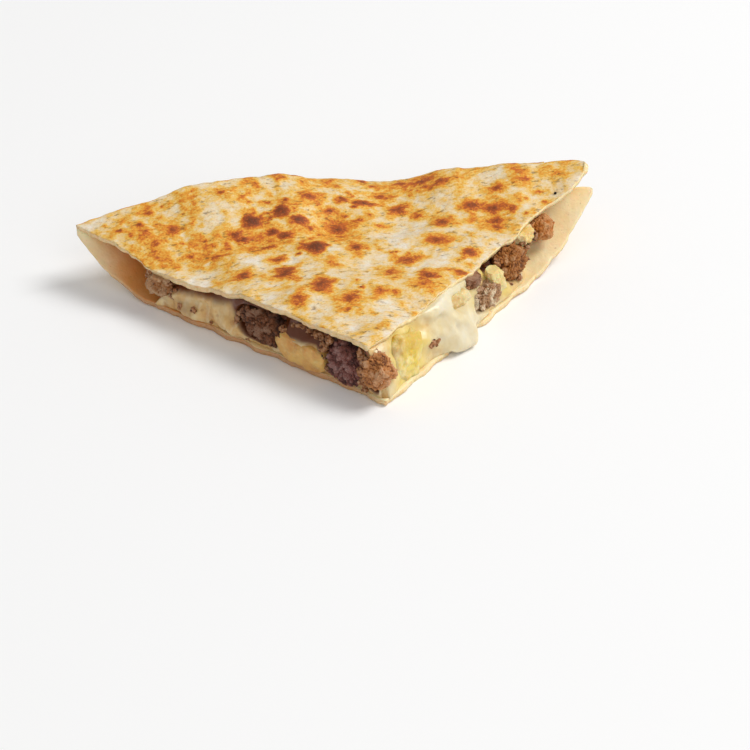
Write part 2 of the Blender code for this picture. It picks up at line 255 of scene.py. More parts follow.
SPOT_OUTLINE = ((0.12, 0.0060, 23), (0.07, 0.0026, 24))
CORE_WIDTH = 0.42


def ellipse(x, y, right, back, wide, deep):
    """The distance from a place in millimetres, over the radii of an ellipse round it."""
    return np.hypot((x - right / 1e3) / (wide / 1e3), (y - back / 1e3) / (deep / 1e3))


def browned(x, y, spots, washes):
    """How brown the dough is, 0 pale to 1 dark: a plain level with wide soft washes, and over
    it a dome for each spot, as high as the spot is strong at its middle. It falls with a power
    of the distance, higher for a strong spot, to its golden rim's level at its radius, and on;
    a weaker spot has a small darker core."""
    ground = np.stack((x, y), -1)
    level = PLAIN_BROWNING + relief(ground, PLAIN_MOTTLE)
    for *place, strength in washes:
        level += strength / 100.0 * hump(ellipse(x, y, *place), 0.0, 1.0)
    level = np.clip(level, *PLAIN_LIMITS)
    warp = 1.0 + relief(ground, SPOT_OUTLINE)
    for *place, strength in spots:
        radius, strength = warp * ellipse(x, y, *place), strength / 100.0
        fall = max(strength - RIM_BROWNING, 0.11)
        core = 0.35 * (1.0 - strength) * hump(radius, 0.0, CORE_WIDTH)
        level = np.maximum(level, strength + core - fall * radius ** (0.3 + 1.4 * strength))
    return level


# The dough
# One sheet of flour and water dough, rolled by hand to under 2 mm, folded over at the back.
# Its outside is griddled, its inside steamed pale and smooth, and the knife has left the two
# cut edges slightly ragged. The fold is open for its last few millimetres at the right.

CELLS = 146
NOSE_CELLS = 6
NOSE_RISE = math.radians(56.0)
NOSE_REACH = 0.55
CORNER_SLIT = 0.92
CORNER_START = 0.060
CORNER_SHIFT = 0.0044
CORNER_RISE = 0.0008
CORNER_NARROWED = 0.0056
CORNER_END = 0.0816
CORNER_SLOPE = 0.28
LOWER_END = 0.0862
RIM_FADE = 0.0035
RAGGED_SIZES = ((0.00028, 0.016), (0.00009, 0.0042))
RIM_JUTS = ((0.0008, 0.0800, 0.0035), (-0.0012, 0.0665, 0.0070))
RIM_SAG_FADE = 0.0070
RIM_SAGS = (
    (0.0009, 0.037, 0.004), (-0.0011, 0.0245, 0.004), (0.0006, 0.053, 0.003), (-0.0007, 0.0605, 0.0035),
)
SWELLINGS = ((0.00034, 0.019, 41), (0.00007, 0.0060, 42), (0.00004, 0.0024, 43))
BLISTERS = 0.0006
DIMPLES = 0.00018
BELLY_SPOTS = ((-60, 15, 1.5, 1.5, 45), (60, 88, 5.0, 4.5, 90))
BELLY_SPOT_COUNT = 60


def layer_plan():
    """p and q on a square grid over the triangle: two sides are the cuts, two make the fold."""
    a, b = np.meshgrid(np.linspace(0, 1, CELLS + 1), np.linspace(0, 1, CELLS + 1), indexing="ij")
    return LEFT_CUT * a * (1.0 - b / 2.0), RIGHT_CUT * b * (1.0 - a / 2.0)


def ragged(along, seed):
    """A torn cut's edge, in metres out of line: long and short random waves."""
    rows = [(*sizes, seed + number) for number, sizes in enumerate(RAGGED_SIZES)]
    return relief(along[..., None], rows)


def upper_layer(p, q):
    """The upper layer's outer face: its plan and height, edge waves that fade inwards, soft
    swellings over the filling, fine wrinkles, and a blister under each browned spot."""
    points = plan_point(p, q, 1.0)
    x, y = points[..., 0], points[..., 1]
    from_left = np.exp(-q / RIM_FADE) * ragged(p, 31)
    from_right = np.exp(-p / RIM_FADE) * (ragged(q, 33) + humps(q, RIM_JUTS))
    from_right += np.exp(-p / 0.012) * CORNER_NARROWED * blend((q - 0.098) / 0.016)
    points -= np.multiply.outer(from_left, ALONG_RIGHT) + np.multiply.outer(from_right, ALONG_LEFT)
    y += CORNER_SHIFT * blend((x - CORNER_START) / 0.022) * blend((p + 0.005) / 0.010)
    x -= 0.93 * np.maximum(x - CORNER_END - CORNER_SLOPE * (y - 0.0826), 0.0)
    brown = browned(x, y, SPOTS, WASHES)
    raised = relief(points[..., :2], SWELLINGS) + BLISTERS * (brown - 0.3)
    raised += CORNER_RISE * blend((x - CORNER_START) / 0.025) * blend((y - 0.080) / 0.010)
    points[..., 2] = top_height(p, q) + raised + humps(p, RIM_SAGS) * np.exp(-q / RIM_SAG_FADE)
    return points, brown


def lower_layer(p, q):
    """The lower layer's outer face: flat, then curled, with dimples that only go upwards."""
    points = plan_point(p, q, 0.0)
    x, y = points[..., 0], points[..., 1]
    from_left = np.exp(-q / 0.003) * ragged(p, 35)
    from_right = np.exp(-p / 0.003) * ragged(q, 37)
    points -= np.multiply.outer(from_left, ALONG_RIGHT) + np.multiply.outer(from_right, ALONG_LEFT)
    x -= 0.8 * np.maximum(x - LOWER_END, 0.0)
    dimples = DIMPLES * (1.3 + uneven(points[..., :2], 0.014, 44)).clip(0.0)
    points[..., 2] = bottom_height(p, q) + dimples
    draw = np.random.default_rng(45)
    spots = draw.uniform(*BELLY_SPOTS, size=(BELLY_SPOT_COUNT, len(BELLY_SPOTS[0])))
    return points, browned(x, y, spots, WASHES[:6])


def nose_points(low, high, shares_up):
    """The rounded fold: a cubic curve from the lower layer's rim, leaving it as steeply as it
    curls, to the upper one's, which it meets level."""
    reach = (high[:, 2] - low[:, 2])[:, None] * NOSE_REACH
    rise = FOLD_SIDE * math.cos(NOSE_RISE) + (0.0, 0.0, math.sin(NOSE_RISE))
    leave, arrive = low + reach * rise, high + reach * FOLD_SIDE
    t = shares_up[:, None, None]
    return (1 - t) ** 3 * low + 3 * (1 - t) ** 2 * t * leave + 3 * (1 - t) * t**2 * arrive + t**3 * high


def back_rim(grid):
    """The grid's two fold sides as one row, from the left tip to the right corner."""
    return np.concatenate((grid[-1, :], grid[-2::-1, -1]))


plan_p, plan_q = layer_plan()
upper_points, upper_brown = upper_layer(plan_p, plan_q)
lower_points, lower_brown = lower_layer(plan_p, plan_q)
lower_numbers = np.arange(lower_points[..., 0].size).reshape(plan_p.shape)
upper_numbers = lower_numbers + lower_numbers.size
low_rim, high_rim = back_rim(lower_numbers), back_rim(upper_numbers)
joined = int(CORNER_SLIT * len(low_rim))
between = nose_points(
    lower_points.reshape(-1, 3)[low_rim[:joined]],
    upper_points.reshape(-1, 3)[high_rim[:joined] - lower_numbers.size],
    np.linspace(0, 1, NOSE_CELLS + 1)[1:-1],
)
nose_numbers = np.arange(between[..., 0].size).reshape(between.shape[:2]) + 2 * lower_numbers.size
nose_rows = np.vstack((low_rim[None, :joined], nose_numbers, high_rim[None, :joined]))
skin_points = np.concatenate([part.reshape(-1, 3) for part in (lower_points, upper_points, between)])
nose_brown = 0.36 + 0.12 * uneven(between.reshape(-1, 3), 0.007, 47)
skin_brown = np.concatenate((lower_brown.ravel(), upper_brown.ravel(), nose_brown))
upward = grid_faces(upper_numbers)
downward = np.concatenate((grid_faces(lower_numbers), grid_faces(nose_rows)))[:, ::-1]
skin_faces = np.concatenate((upward, downward)).tolist()


def sheen(red, green, blue):
    """An 8-bit screen colour as the shader's linear red, green, blue and alpha."""
    screen = np.array((red, green, blue)) / 255.0
    linear = np.where(screen <= 0.04045, screen / 12.92, ((screen + 0.055) / 1.055) ** 2.4)
    return (*linear.tolist(), 1.0)


class Value:
    """One output of a shader node. Arithmetic on it adds Math nodes to the same finish."""

    def __init__(self, finish, socket):
        self.finish, self.socket = finish, socket

    def maths(self, operation, first, second):
        return self.finish.node("Math", {"operation": operation}, {0: first, 1: second})

    def __add__(self, other):
        return self.maths("ADD", self, other)

    __radd__ = __add__

    def __sub__(self, other):
        return self.maths("SUBTRACT", self, other)

    def __rsub__(self, other):
        return self.maths("SUBTRACT", other, self)

    def __mul__(self, other):
        return self.maths("MULTIPLY", self, other)

    __rmul__ = __mul__


class Finish:
    """A food's surface: a Principled material, which light enters with a weight, its glow, and
    to a depth, and one method that adds any other node."""

    def __init__(self, name, roughness=0.5, glow=0.0, deep=0.001, gloss=0.5, coat=0.0):
        self.material = bpy.data.materials.new(name)
        self.material.use_nodes = True
        self.tree = self.material.node_tree
        self.shader = self.tree.nodes["Principled BSDF"]
        inputs = self.shader.inputs
        inputs["Roughness"].default_value = roughness
        inputs["Subsurface Weight"].default_value = glow
        inputs["Subsurface Scale"].default_value = deep
        inputs["Specular IOR Level"].default_value = gloss
        inputs["Coat Weight"].default_value = coat
        self.place = self.node("TexCoord", {}, {}, "Object")

    def node(self, kind, settings, inputs, output=0):
        """Adds a node, sets it, feeds its sockets with values or links, and gives an output."""
        made = self.tree.nodes.new("ShaderNode" + kind)
        for name, value in settings.items():
            setattr(made, name, value)
        for name, value in inputs.items():
            self.feed(made.inputs[name], value)
        return Value(self, made.outputs[output])

    def feed(self, socket, value):
        if isinstance(value, Value):
            self.tree.links.new(value.socket, socket)
        else:
            socket.default_value = value

    def grain(self, size, detail=2.0, stretch=(1.0, 1.0, 1.0), roughness=0.5):
        """Noise about `size` metres across, drawn out along an axis where stretch is small."""
        inputs = {0: self.place, 1: stretch}
        place = self.node("VectorMath", {"operation": "MULTIPLY"}, inputs)
        inputs = {"Vector": place, "Scale": 1.0 / size, "Detail": detail, "Roughness": roughness}
        return self.node("TexNoise", {}, inputs, "Fac")

    def axis(self, number):
        """A place's X, Y or Z in metres."""
        return self.node("SeparateXYZ", {}, {"Vector": self.place}, number)

    def painted(self, name):
        """The number that paint kept under this name."""
        return self.node("Attribute", {"attribute_name": name}, {}, "Fac")

    def step(self, value, low, high):
        """0 below low, 1 above high, smooth between."""
        inputs = {"Value": value, "From Min": low, "From Max": high}
        return self.node("MapRange", {"interpolation_type": "SMOOTHSTEP"}, inputs)

    def ramp(self, value, *stops):
        """Colours by a value: each stop is a place from 0 to 1 and a screen colour."""
        made = self.node("ValToRGB", {}, {"Fac": value}, "Color")
        elements = made.socket.node.color_ramp.elements
        while len(elements) < len(stops):
            elements.new(1.0)
        for element, (position, *colour) in zip(elements, stops):
            element.position, element.color = position, sheen(*colour)
        return made

    def mix(self, amount, first, second):
        """The first colour, with an amount from 0 to 1 of a second, a screen colour."""
        inputs = {0: amount, 6: first, 7: sheen(*second)}
        return self.node("Mix", {"data_type": "RGBA"}, inputs, 2)

    def finish(self, colour, height=None, depth=0.0003, roughness=None):
        """Feeds the shader: colour, roughness, and bump from a height of this depth."""
        self.feed(self.shader.inputs["Base Color"], colour)
        if roughness is not None:
            self.feed(self.shader.inputs["Roughness"], roughness)
        if height is not None:
            bump = self.node("Bump", {}, {"Height": height, "Distance": depth}, "Normal")
            self.feed(self.shader.inputs["Normal"], bump)
        return self.material


def griddled_crust():
    """Pale floury dough through cream, gold and orange to dark brown, as the browning says,
    with fine mottling, small burnt flecks drawn out sideways, and a dry dull surface."""
    crust = Finish("griddled crust", glow=0.06, deep=0.0015, gloss=0.28)
    finest = crust.grain(0.0006, 3.0, (0.8, 1.0, 1.0), 0.6)
    fine = crust.grain(0.0014, 4.0, (0.7, 1.0, 1.0), 0.6)
    middle = crust.grain(0.0042, 4.0, (0.6, 1.0, 1.0), 0.6)
    brown = crust.painted("browning")
    level = brown + (finest - 0.5) * (0.06 + 1.4 * brown * brown)
    level = level + (fine - 0.5) * 0.46 + (middle - 0.5) * 0.46
    colour = crust.ramp(
        level,
        (0.00, 238, 229, 212),
        (0.16, 236, 218, 184),
        (0.28, 237, 204, 144),
        (0.37, 236, 188, 86),
        (0.46, 230, 153, 46),
        (0.56, 202, 104, 36),
        (0.70, 156, 74, 30),
        (0.94, 106, 48, 22),
    )
    colour = crust.mix(crust.step(finest, 0.46, 0.68) * 0.20, colour, (170, 112, 56))
    flecks = crust.step(crust.grain(0.0013, 4.0, (0.42, 1.0, 1.0), 0.65), 0.55, 0.68)
    colour = crust.mix(flecks * crust.step(middle, 0.37, 0.55) * 0.62, colour, (104, 68, 42))
    height = level * 0.8 + fine * 0.30 + finest * 0.12 - flecks * 0.3
    return crust.finish(colour, height, 0.0003, 0.72 - 0.2 * level)


def steamed_inside():
    """The inner face of the dough: pale yellow, smooth and slightly moist, with painted shade and
    warm reflected light, ochre-brown, across the inside near the left tip.
    """
    inside = Finish("steamed dough", roughness=0.48, glow=0.25, deep=0.003)
    soft = inside.grain(0.006, 3.0)
    colour = inside.ramp(soft, (0.3, 248, 230, 186), (0.7, 241, 213, 156))
    across = inside.axis(0)
    # Painted shade and warm reflected light: the inside is mixed towards ochre-brown near the left tip.
    pocket_shade = inside.step(across, -0.087, -0.072) * (1.0 - inside.step(across, -0.055, -0.040))
    colour = inside.mix(pocket_shade * (0.70 + 0.3 * soft), colour, (222, 142, 52))
    specks = inside.step(inside.grain(0.0011, 3.0), 0.66, 0.74)
    colour = inside.mix(specks * 0.45, colour, (176, 130, 80))
    return inside.finish(colour, inside.grain(0.0016, 3.0), 0.0002)


def cut_edge():
    """The cut edge of the sheet: a thin pale crumb, tanned along its outer side, and darkened
    with painted shade along the left cut, most near the bottom.
    """
    edge = Finish("cut dough", roughness=0.6, glow=0.2, deep=0.002)
    crumb = edge.grain(0.0014, 3.0)
    colour = edge.ramp(crumb, (0.35, 252, 234, 186), (0.7, 240, 206, 140))
    under = 1.0 - edge.step(edge.axis(2), 0.002, 0.010)
    # Painted shade: along the left cut the edge is darkened, most near its bottom; elsewhere only the
    # low outer side is slightly tanned.
    on_left = 1.0 - edge.step(edge.axis(0), -0.012, 0.010)
    colour = edge.mix(0.10 * under + on_left * (0.28 + 0.34 * under), colour, (196, 126, 76))
    return edge.finish(colour, edge.grain(0.0006, 3.0), 0.0002)


dough_looks = (griddled_crust(), steamed_inside(), cut_edge())
dough = new_piece("dough_sheet", skin_points, skin_faces, dough_looks, ["dough"])
paint(dough, "browning", skin_brown)
thickness = dough.modifiers.new("Sheet thickness", "SOLIDIFY")
thickness.thickness = SHEET
thickness.offset = -1.0
thickness.use_quality_normals = True
thickness.material_offset = 1
thickness.material_offset_rim = 2

# The cheese
# White cheese that melted round the rest of the filling and set again as it cooled. It fills
# the space between the layers out to both cuts, pulls away from the upper layer over the
# left cut's potato, and has run out over the lower layer in one place on the right. The
# rows of PIECES: a name, the cut, how far along it, how far behind its face and how high the
# middle lies, the half sizes, the turns in degrees about three axes, and a clump's seed.

PIECES = (
    ("meat_left_back", "left", 0.0960, 0.0018, 0.0108, (0.0054, 0.0050, 0.0036), (0, 0, 10), 3),
    ("meat_left_middle", "left", 0.0502, 0.0022, 0.0108, (0.0104, 0.0066, 0.0066), (0, 6, 0), 5),
    ("potato_left", "left", 0.0345, 0.0016, 0.0074, (0.0092, 0.0044, 0.0044), (0, 6, 0), 0),
    ("meat_left_front", "left", 0.0166, 0.0024, 0.0098, (0.0078, 0.0060, 0.0086), (0, 0, 0), 8),
    ("meat_tip", "left", 0.0044, 0.0011, 0.0112, (0.0056, 0.0050, 0.0078), (0, 0, 20), 11),
    ("potato_tip", "right", 0.0152, 0.0016, 0.0090, (0.0068, 0.0042, 0.0084), (0, 20, 0), 0),
    ("potato_right", "right", 0.0450, 0.0020, 0.0138, (0.0062, 0.0036, 0.0032), (0, 10, 0), 0),
    ("meat_right_front", "right", 0.0602, 0.0014, 0.0078, (0.0104, 0.0050, 0.0035), (0, 0, 0), 17),
    ("meat_right_top", "right", 0.0562, 0.0022, 0.0154, (0.0042, 0.0040, 0.0028), (0, 0, 0), 19),
    ("potato_stick", "right", 0.0662, -0.0004, 0.0116, (0.0025, 0.0026, 0.0068), (0, -30, 0), 0),
    ("meat_right_middle", "right", 0.0780, 0.0030, 0.0108, (0.0078, 0.0060, 0.0072), (0, 0, 0), 23),
    ("potato_right_back", "right", 0.0874, 0.0014, 0.0166, (0.0042, 0.0034, 0.0027), (0, 0, 0), 0),
    ("meat_right_back", "right", 0.0982, 0.0020, 0.0140, (0.0060, 0.0046, 0.0032), (0, 14, 0), 29),
)
CHEESE_FRONT = 0.014
CHEESE_BACK = 0.73
CHEESE_BOW = 0.07
RING = (64, 20, 64, 20)
CHEESE_RINGS = 210
CHEESE_LUMPS = ((0.0007, 0.0095, 51), (0.00016, 0.0040, 52))
LEFT_GRIT = ((0.00004, 0.0016, 53),)
LEFT_PLEATS = ((0.00008, 0.0052, 54),)
SWELL = 0.0003
SETBACK = 0.0016
RECESS = 0.0034
OVERHANG = 0.0024
HOLLOW = 0.0042
OVER_POTATO = ((1.0, 0.040, 0.008), (1.0, 0.026, 0.006), (1.0, 0.012, 0.006))
NOOK = 0.0050
RUN_OUT = 0.0050
DRIBBLES = ((0.0012, 0.0300, 0.0050, 0.2, 0.5), (0.0010, 0.0440, 0.0030, -0.6, 0.5))
DRAWN_BACK = 0.0070
LAP = 0.0027
LAP_RISE = 0.0013
DIMPLE = 0.0011
SAG = 0.0016


def near_pieces(run, height, side, reach, fade, kinds=""):
    """1 over the pieces that lie at a cut and 0 away from them: each one's ellipse, turned as
    the piece is, out to `reach` times its size, fading over `fade`."""
    near = np.zeros_like(run)
    for label, where, along, depth, level, radii, turn, seed in PIECES:
        if where == side and label.startswith(kinds):
            lean = math.radians(turn[1]) * (1.0 if side == "right" else -1.0)
            off, above = run - along, height - level
            wide = (off * math.cos(lean) - above * math.sin(lean)) / radii[0]
            tall = (off * math.sin(lean) + above * math.cos(lean)) / radii[2]
            near = np.maximum(near, blend((reach - np.hypot(wide, tall)) / fade))
    return near


def cheese_ring():
    """Once round the cheese as across and up, -1 to 1: up the left cut, over, down the right
    cut and back under. The corners are sharp, and the cut faces are drawn back there."""
    left, over, right, under = (np.linspace(-1, 1, count, endpoint=False) for count in RING)
    across = np.concatenate((-np.ones(RING[0]), over, np.ones(RING[2]), -under))
    up = np.concatenate((left, np.ones(RING[1]), -right, -np.ones(RING[3])))
    return across, up


def cheese_space(across, up, along):
    """Bends a ring at each share of the way out, `along`, to the space between the layers,
    which closes with the root of the way left. Also gives p, q and the share of the way."""
    share = 0.5 + 0.5 * across
    back = CHEESE_BACK + CHEESE_BOW * np.sin(math.pi * share)
    outward = CHEESE_FRONT + (back - CHEESE_FRONT) * along
    p, q = LEFT_CUT * outward * (1.0 - share), RIGHT_CUT * outward * share
    low, high = inner_heights(p, q, -0.0001)
    high = low + (high - low) * np.sqrt(np.clip((1.0 - along) / 0.12, 0.02, 1.0))
    points = plan_point(p, q, 0.5 + 0.5 * up)
    points[..., 2] = low + (high - low) * (0.5 + 0.5 * up)
    return points, p, q, outward


def left_marks(p, up):
    """0 to 1 on the left cut: the hollow over the potato, and the overhang further back."""
    hollow = np.minimum(humps(p, OVER_POTATO), 1.0) * blend((up - 0.02) / 0.6)
    overhang = blend((up - 0.30) / 0.55) * blend((p - 0.050) / 0.012)
    return hollow, overhang


def right_marks(q, height, up):
    """0 to 1 on the right cut: the dark nook, the lap over the rim, and the swirl's dimple."""
    nook = blend((up - 0.1) / 0.6) * hump(q, 0.0700, 0.0050)
    lap = blend((up - 0.5) / 0.5) * hump(q, 0.033, 0.013)
    dimple = hump(q, 0.0380, 0.0022) * hump(height, 0.0098, 0.0018)
    return nook, lap, dimple


def poured(q, up):
    """How far the run-out at the foot of the right cut and the dribbles above it stand out."""
    foot = hump(q, 0.0405, 0.0080) * (0.5 - 0.5 * up) * (1.6 + 0.6 * up)
    runs = [out * hump(q, at, wide) * hump(up, level, tall) for out, at, wide, level, tall in DRIBBLES]
    return RUN_OUT * foot + sum(runs)


def cheese_surface(across, up, along):
    """The filled space, its cut faces moved out by melted swellings and runs, and drawn back at
    their upper and lower corners, behind each piece and in the dark hollows. Also gives how
    brown meat juice and painted shade make it, how white the run-out is, and how yellow it
    is by potato."""
    points, p, q, outward = cheese_space(across, up, along)
    height = points[..., 2]
    left_side, right_side = np.maximum(-across, 0.0) ** 9, np.maximum(across, 0.0) ** 9
    hollow, overhang = left_marks(p, up)
    nook, lap, dimple = right_marks(q, height, up)

    lumpy = relief(points, CHEESE_LUMPS) + SWELL
    lumpy += (relief(points, LEFT_GRIT) + relief(p[..., None], LEFT_PLEATS)) * left_side
    swell = lumpy * (1.0 - up**6) - np.minimum(SETBACK, 0.010 * outward) * np.abs(up) ** 5
    on_left = swell - HOLLOW * hollow - OVERHANG * overhang
    on_left -= RECESS * near_pieces(p, height, "left", 1.0, 0.25)
    on_right = swell + poured(q, up) + LAP * lap - DIMPLE * dimple - NOOK * nook
    on_right -= DRAWN_BACK * blend((along - 0.86) / 0.14)
    behind_meat = near_pieces(q, height, "right", 1.0, 0.25, "meat")
    behind_potato = near_pieces(q, height, "right", 0.90, 0.30, "potato")
    on_right -= RECESS * np.maximum(behind_meat, behind_potato)
    on_right *= right_side
    points -= np.multiply.outer(on_left * left_side, ALONG_RIGHT)
    points -= np.multiply.outer(on_right, ALONG_LEFT)
    height -= SAG * blend((on_right - 0.0012) / 0.0025) * blend(-up) * right_side
    height += LAP_RISE * lap * right_side**4

    smear = 0.35 * hump(p, 0.0835, 0.0045) * hump(height, 0.0060, 0.0030)
    near_meat = 0.9 * near_pieces(p, height, "left", 1.25, 0.5, "meat")
    # Meat juice browns the cheese round the meat and in the smear; over the potato the brown is juice
    # and painted shade in the hollow, and under the overhang it is painted shadow of the upper layer.
    brown_share = HOLLOW / 0.0022 * hollow + 0.5 * overhang + smear + near_meat
    # Painted shade: the left face is also darker towards its top, under the upper layer's rim.
    stain_and_shade = np.clip(brown_share + 0.30 * blend(0.6 * up + 0.4), 0.0, 1.0) * left_side
    near_meat = 0.5 * near_pieces(q, height, "right", 1.15, 0.4, "meat")
    # On the right: painted shade in the dark nook and in the swirl's dimple, and meat juice round the
    # meat.
    stain_and_shade += (NOOK / 0.0026 * nook + near_meat + 0.28 * dimple) * right_side
    white = (0.35 + 0.65 * blend(1.3 * hump(q, 0.041, 0.011))) * right_side
    yellow = near_pieces(q, height, "right", 2.0, 1.1, "potato") * right_side * (1.1 - white)
    return points, np.clip(stain_and_shade, 0.0, 1.0), white, yellow


def closed_tube(rings):
    """Points and faces of a tube of rings of points, closed at each end on a middle point."""
    count, around = rings.shape[:2]
    numbers = np.arange(count * around).reshape(count, around)
    wrapped = np.concatenate((numbers, numbers[:, :1]), axis=1)
    ends = rings[[0, -1]].mean(axis=1)
    front_middle, rear_middle = np.full(around, numbers.size), np.full(around, numbers.size + 1)
    front = np.stack((wrapped[0, :-1], wrapped[0, 1:], front_middle), -1)
    rear = np.stack((wrapped[-1, 1:], wrapped[-1, :-1], rear_middle), -1)
    faces = grid_faces(wrapped.T).tolist() + front.tolist() + rear.tolist()
    return np.concatenate((rings.reshape(-1, 3), ends)), faces


def melted_cheese():
    """Set white cheese, cream to pale yellow, browned where meat juice ran and darkened with
    painted shade in its hollows and under the upper layer, with a greasy glint.
    """
    cheese = Finish("melted cheese", glow=0.30, deep=0.003, gloss=0.55, coat=0.12)
    cheese.shader.inputs["Subsurface Radius"].default_value = (1.0, 0.75, 0.45)
    cheese.shader.inputs["Coat Roughness"].default_value = 0.2
    soft = cheese.grain(0.0075, 3.0)
    fine = cheese.grain(0.0014, 3.0)
    white = cheese.painted("whiteness")
    colour = cheese.ramp(
        soft * 0.60 + fine * 0.25 + white * 0.36,
        (0.20, 200, 140, 72),
        (0.42, 222, 182, 116),
        (0.62, 223, 203, 154),
        (0.88, 227, 217, 190),
    )
    strands = cheese.grain(0.0034, 3.0, (1.0, 1.0, 0.45))
    colour = cheese.mix(cheese.step(strands, 0.48, 0.70) * 0.45, colour, (242, 228, 188))
    oily = 0.45 - 0.45 * white
    dark_strands = 1.0 - cheese.step(strands, 0.26, 0.48)
    colour = cheese.mix(dark_strands * oily, colour, (180, 128, 66))
    brown_share = cheese.step(cheese.grain(0.0032, 3.0), 0.60, 0.72)
    colour = cheese.mix(brown_share * oily, colour, (176, 122, 66))
    yellow = cheese.painted("potato near")
    colour = cheese.mix(yellow * (0.32 + soft), colour, (230, 204, 92))
    # Brown from meat juice round the meat, and painted shade in the hollows, under the upper layer's
    # rim, in the nook and in the dimple.
    stain_and_shade = cheese.painted("stain_and_shade")
    colour = cheese.mix(cheese.step(stain_and_shade + (soft - 0.5) * 0.5, 0.10, 0.75), colour, (104, 50, 16))
    height = fine * 0.25 + cheese.grain(0.004, 2.0)
    return cheese.finish(colour, height, 0.0003, 0.26 + 0.25 * fine)


ring_across, ring_up = cheese_ring()
ring_along = np.linspace(0.0, 1.0, CHEESE_RINGS)[:, None]
cheese_rings, stain_and_shade, whiteness, yellowness = cheese_surface(ring_across, ring_up, ring_along)
cheese_points, cheese_faces = closed_tube(cheese_rings)
cheese = new_piece("melted_cheese", cheese_points, cheese_faces, (melted_cheese(),), ["cheese"])
for name, values in (("whiteness", whiteness), ("stain_and_shade", stain_and_shade), ("potato near", yellowness)):
    paint(cheese, name, np.append(values.ravel(), (0.0, 0.0)))

# The minced meat
# Beef or lamb fried dry with onion: clumps of grains a millimetre or two across, brown and
# dull, with painted shade in their crevices. The knife has cut those at the faces nearly flat.

GOLDEN = math.pi * (3.0 - math.sqrt(5.0))
CRUMBS = 16
NUGGETS = 44
GRAINS = 620
PROUD = 0.0012
TORN_BACK = 0.0032


def ball(level):
    """Directions over a ball and the triangles between them, from an icosahedron."""
    mesh = bmesh.new()
    bmesh.ops.create_icosphere(mesh, subdivisions=level, radius=1.0)
    points = np.array([vertex.co for vertex in mesh.verts])
    faces = np.array([[vertex.index for vertex in face.verts] for face in mesh.faces])
    mesh.free()
    return points / np.linalg.norm(points, axis=1)[:, None], faces


def past_ball(directions, centre, radius, reach):
    """The larger of a reach and of where a ray from the middle leaves a little ball: its part
    along the ray, plus the root of the radius squared less the offset squared."""
    along = directions @ centre
    inside = radius**2 - centre @ centre + along**2
    return np.where(inside > 0.0, np.maximum(reach, along + np.sqrt(np.abs(inside))), reach)


def clump_reach(directions, radii, seed):
    """A clump's reach: the furthest of the balls it is pressed together from, spread evenly
    over an ellipsoid and jittered."""
    draw = np.random.default_rng(seed)
    size = (radii[0] * radii[1] * radii[2]) ** (1.0 / 3.0)
    reach = np.full(len(directions), 0.55 * min(radii))
    for i in range(CRUMBS):
        z = 1.0 - 2.0 * (i + 0.5) / CRUMBS
        ring = math.sqrt(1.0 - z * z)
        turn = GOLDEN * i + draw.uniform(-0.3, 0.3)
        spot = np.array([ring * math.cos(turn), ring * math.sin(turn), z]) * radii
        centre = spot * draw.uniform(0.52, 0.68)
        reach = past_ball(directions, centre, size * draw.uniform(0.36, 0.50), reach)
    return reach


def grainy_reach(directions, radii, seed):
    """A clump's own outline, how far nuggets and then grains of mince bedded in its face stand
    out from that, and how deep each point lies below it, for painted shade in the crevices."""
    outline = clump_reach(directions, radii, seed)
    draw = np.random.default_rng(seed + 100)
    reach = outline * 0.86
    for count, small, large in ((NUGGETS, 0.0010, 0.0018), (GRAINS, 0.0003, 0.0008)):
        bed = np.maximum(reach, outline - large)
        for _ in range(count):
            way = draw.normal(size=3)
            way /= np.linalg.norm(way)
            nearest = np.argmax(directions @ way)
            radius = draw.uniform(small, large)
            centre = way * (bed[nearest] - radius * draw.uniform(0.2, 0.8))
            reach = past_ball(directions, centre, radius, reach)
    reach += 0.00010 * uneven(directions * outline[:, None], 0.0008, seed + 200)
    return outline, reach - outline, np.clip((outline + 0.0004 - reach) / 0.0021, 0.0, 1.0)


def turned(points, angles):
    """Turns points about X, then Y, then Z, by degrees."""
    turn = Euler([math.radians(angle) for angle in angles]).to_matrix()
    return points @ np.array(turn).T


def between_layers(points):
    """Presses points down and up so that they stay clear of both dough layers."""
    share = np.clip(points[:, 2] / 0.020, 0.0, 1.0)
    p, q = points @ ALONG_LEFT, points @ ALONG_RIGHT
    flat_p, flat_q = np.maximum(p, 0.0), np.maximum(q, 0.0)
    for _ in range(4):
        off = plan_point(flat_p, flat_q, share)
        flat_p = np.maximum(flat_p + p - off @ ALONG_LEFT, 0.0)
        flat_q = np.maximum(flat_q + q - off @ ALONG_RIGHT, 0.0)
    low, high = inner_heights(flat_p, flat_q, 0.0001)
    pressed = points.copy()
    pressed[:, 2] = np.clip(points[:, 2], low, high)
    return pressed


def set_in_cut(directions, outline, grains, side, along, depth, height, turn):
    """Turns a piece, cuts off most of what stands proud of the cut, adds the grains that stand
    out from that face, and sets it in the wedge: `along` a cut from the front tip, `depth`
    behind its face, at a height."""
    ways = turned(directions, turn)
    points = ways * outline[:, None]
    points[:, 1] -= 0.7 * np.minimum(points[:, 1] + max(depth, 0.0) + PROUD, 0.0)
    points += ways * grains[:, None]
    run, inward = (ALONG_LEFT, ALONG_RIGHT) if side == "left" else (ALONG_RIGHT, ALONG_LEFT)
    lean = 0.0 if side == "left" else SLANT * height / 0.020
    centre = run * along + inward * (depth + lean) + (0.0, 0.0, height)
    facing = np.column_stack((-run if side == "left" else run, inward, (0.0, 0.0, 1.0)))
    return between_layers(points @ facing.T + centre)


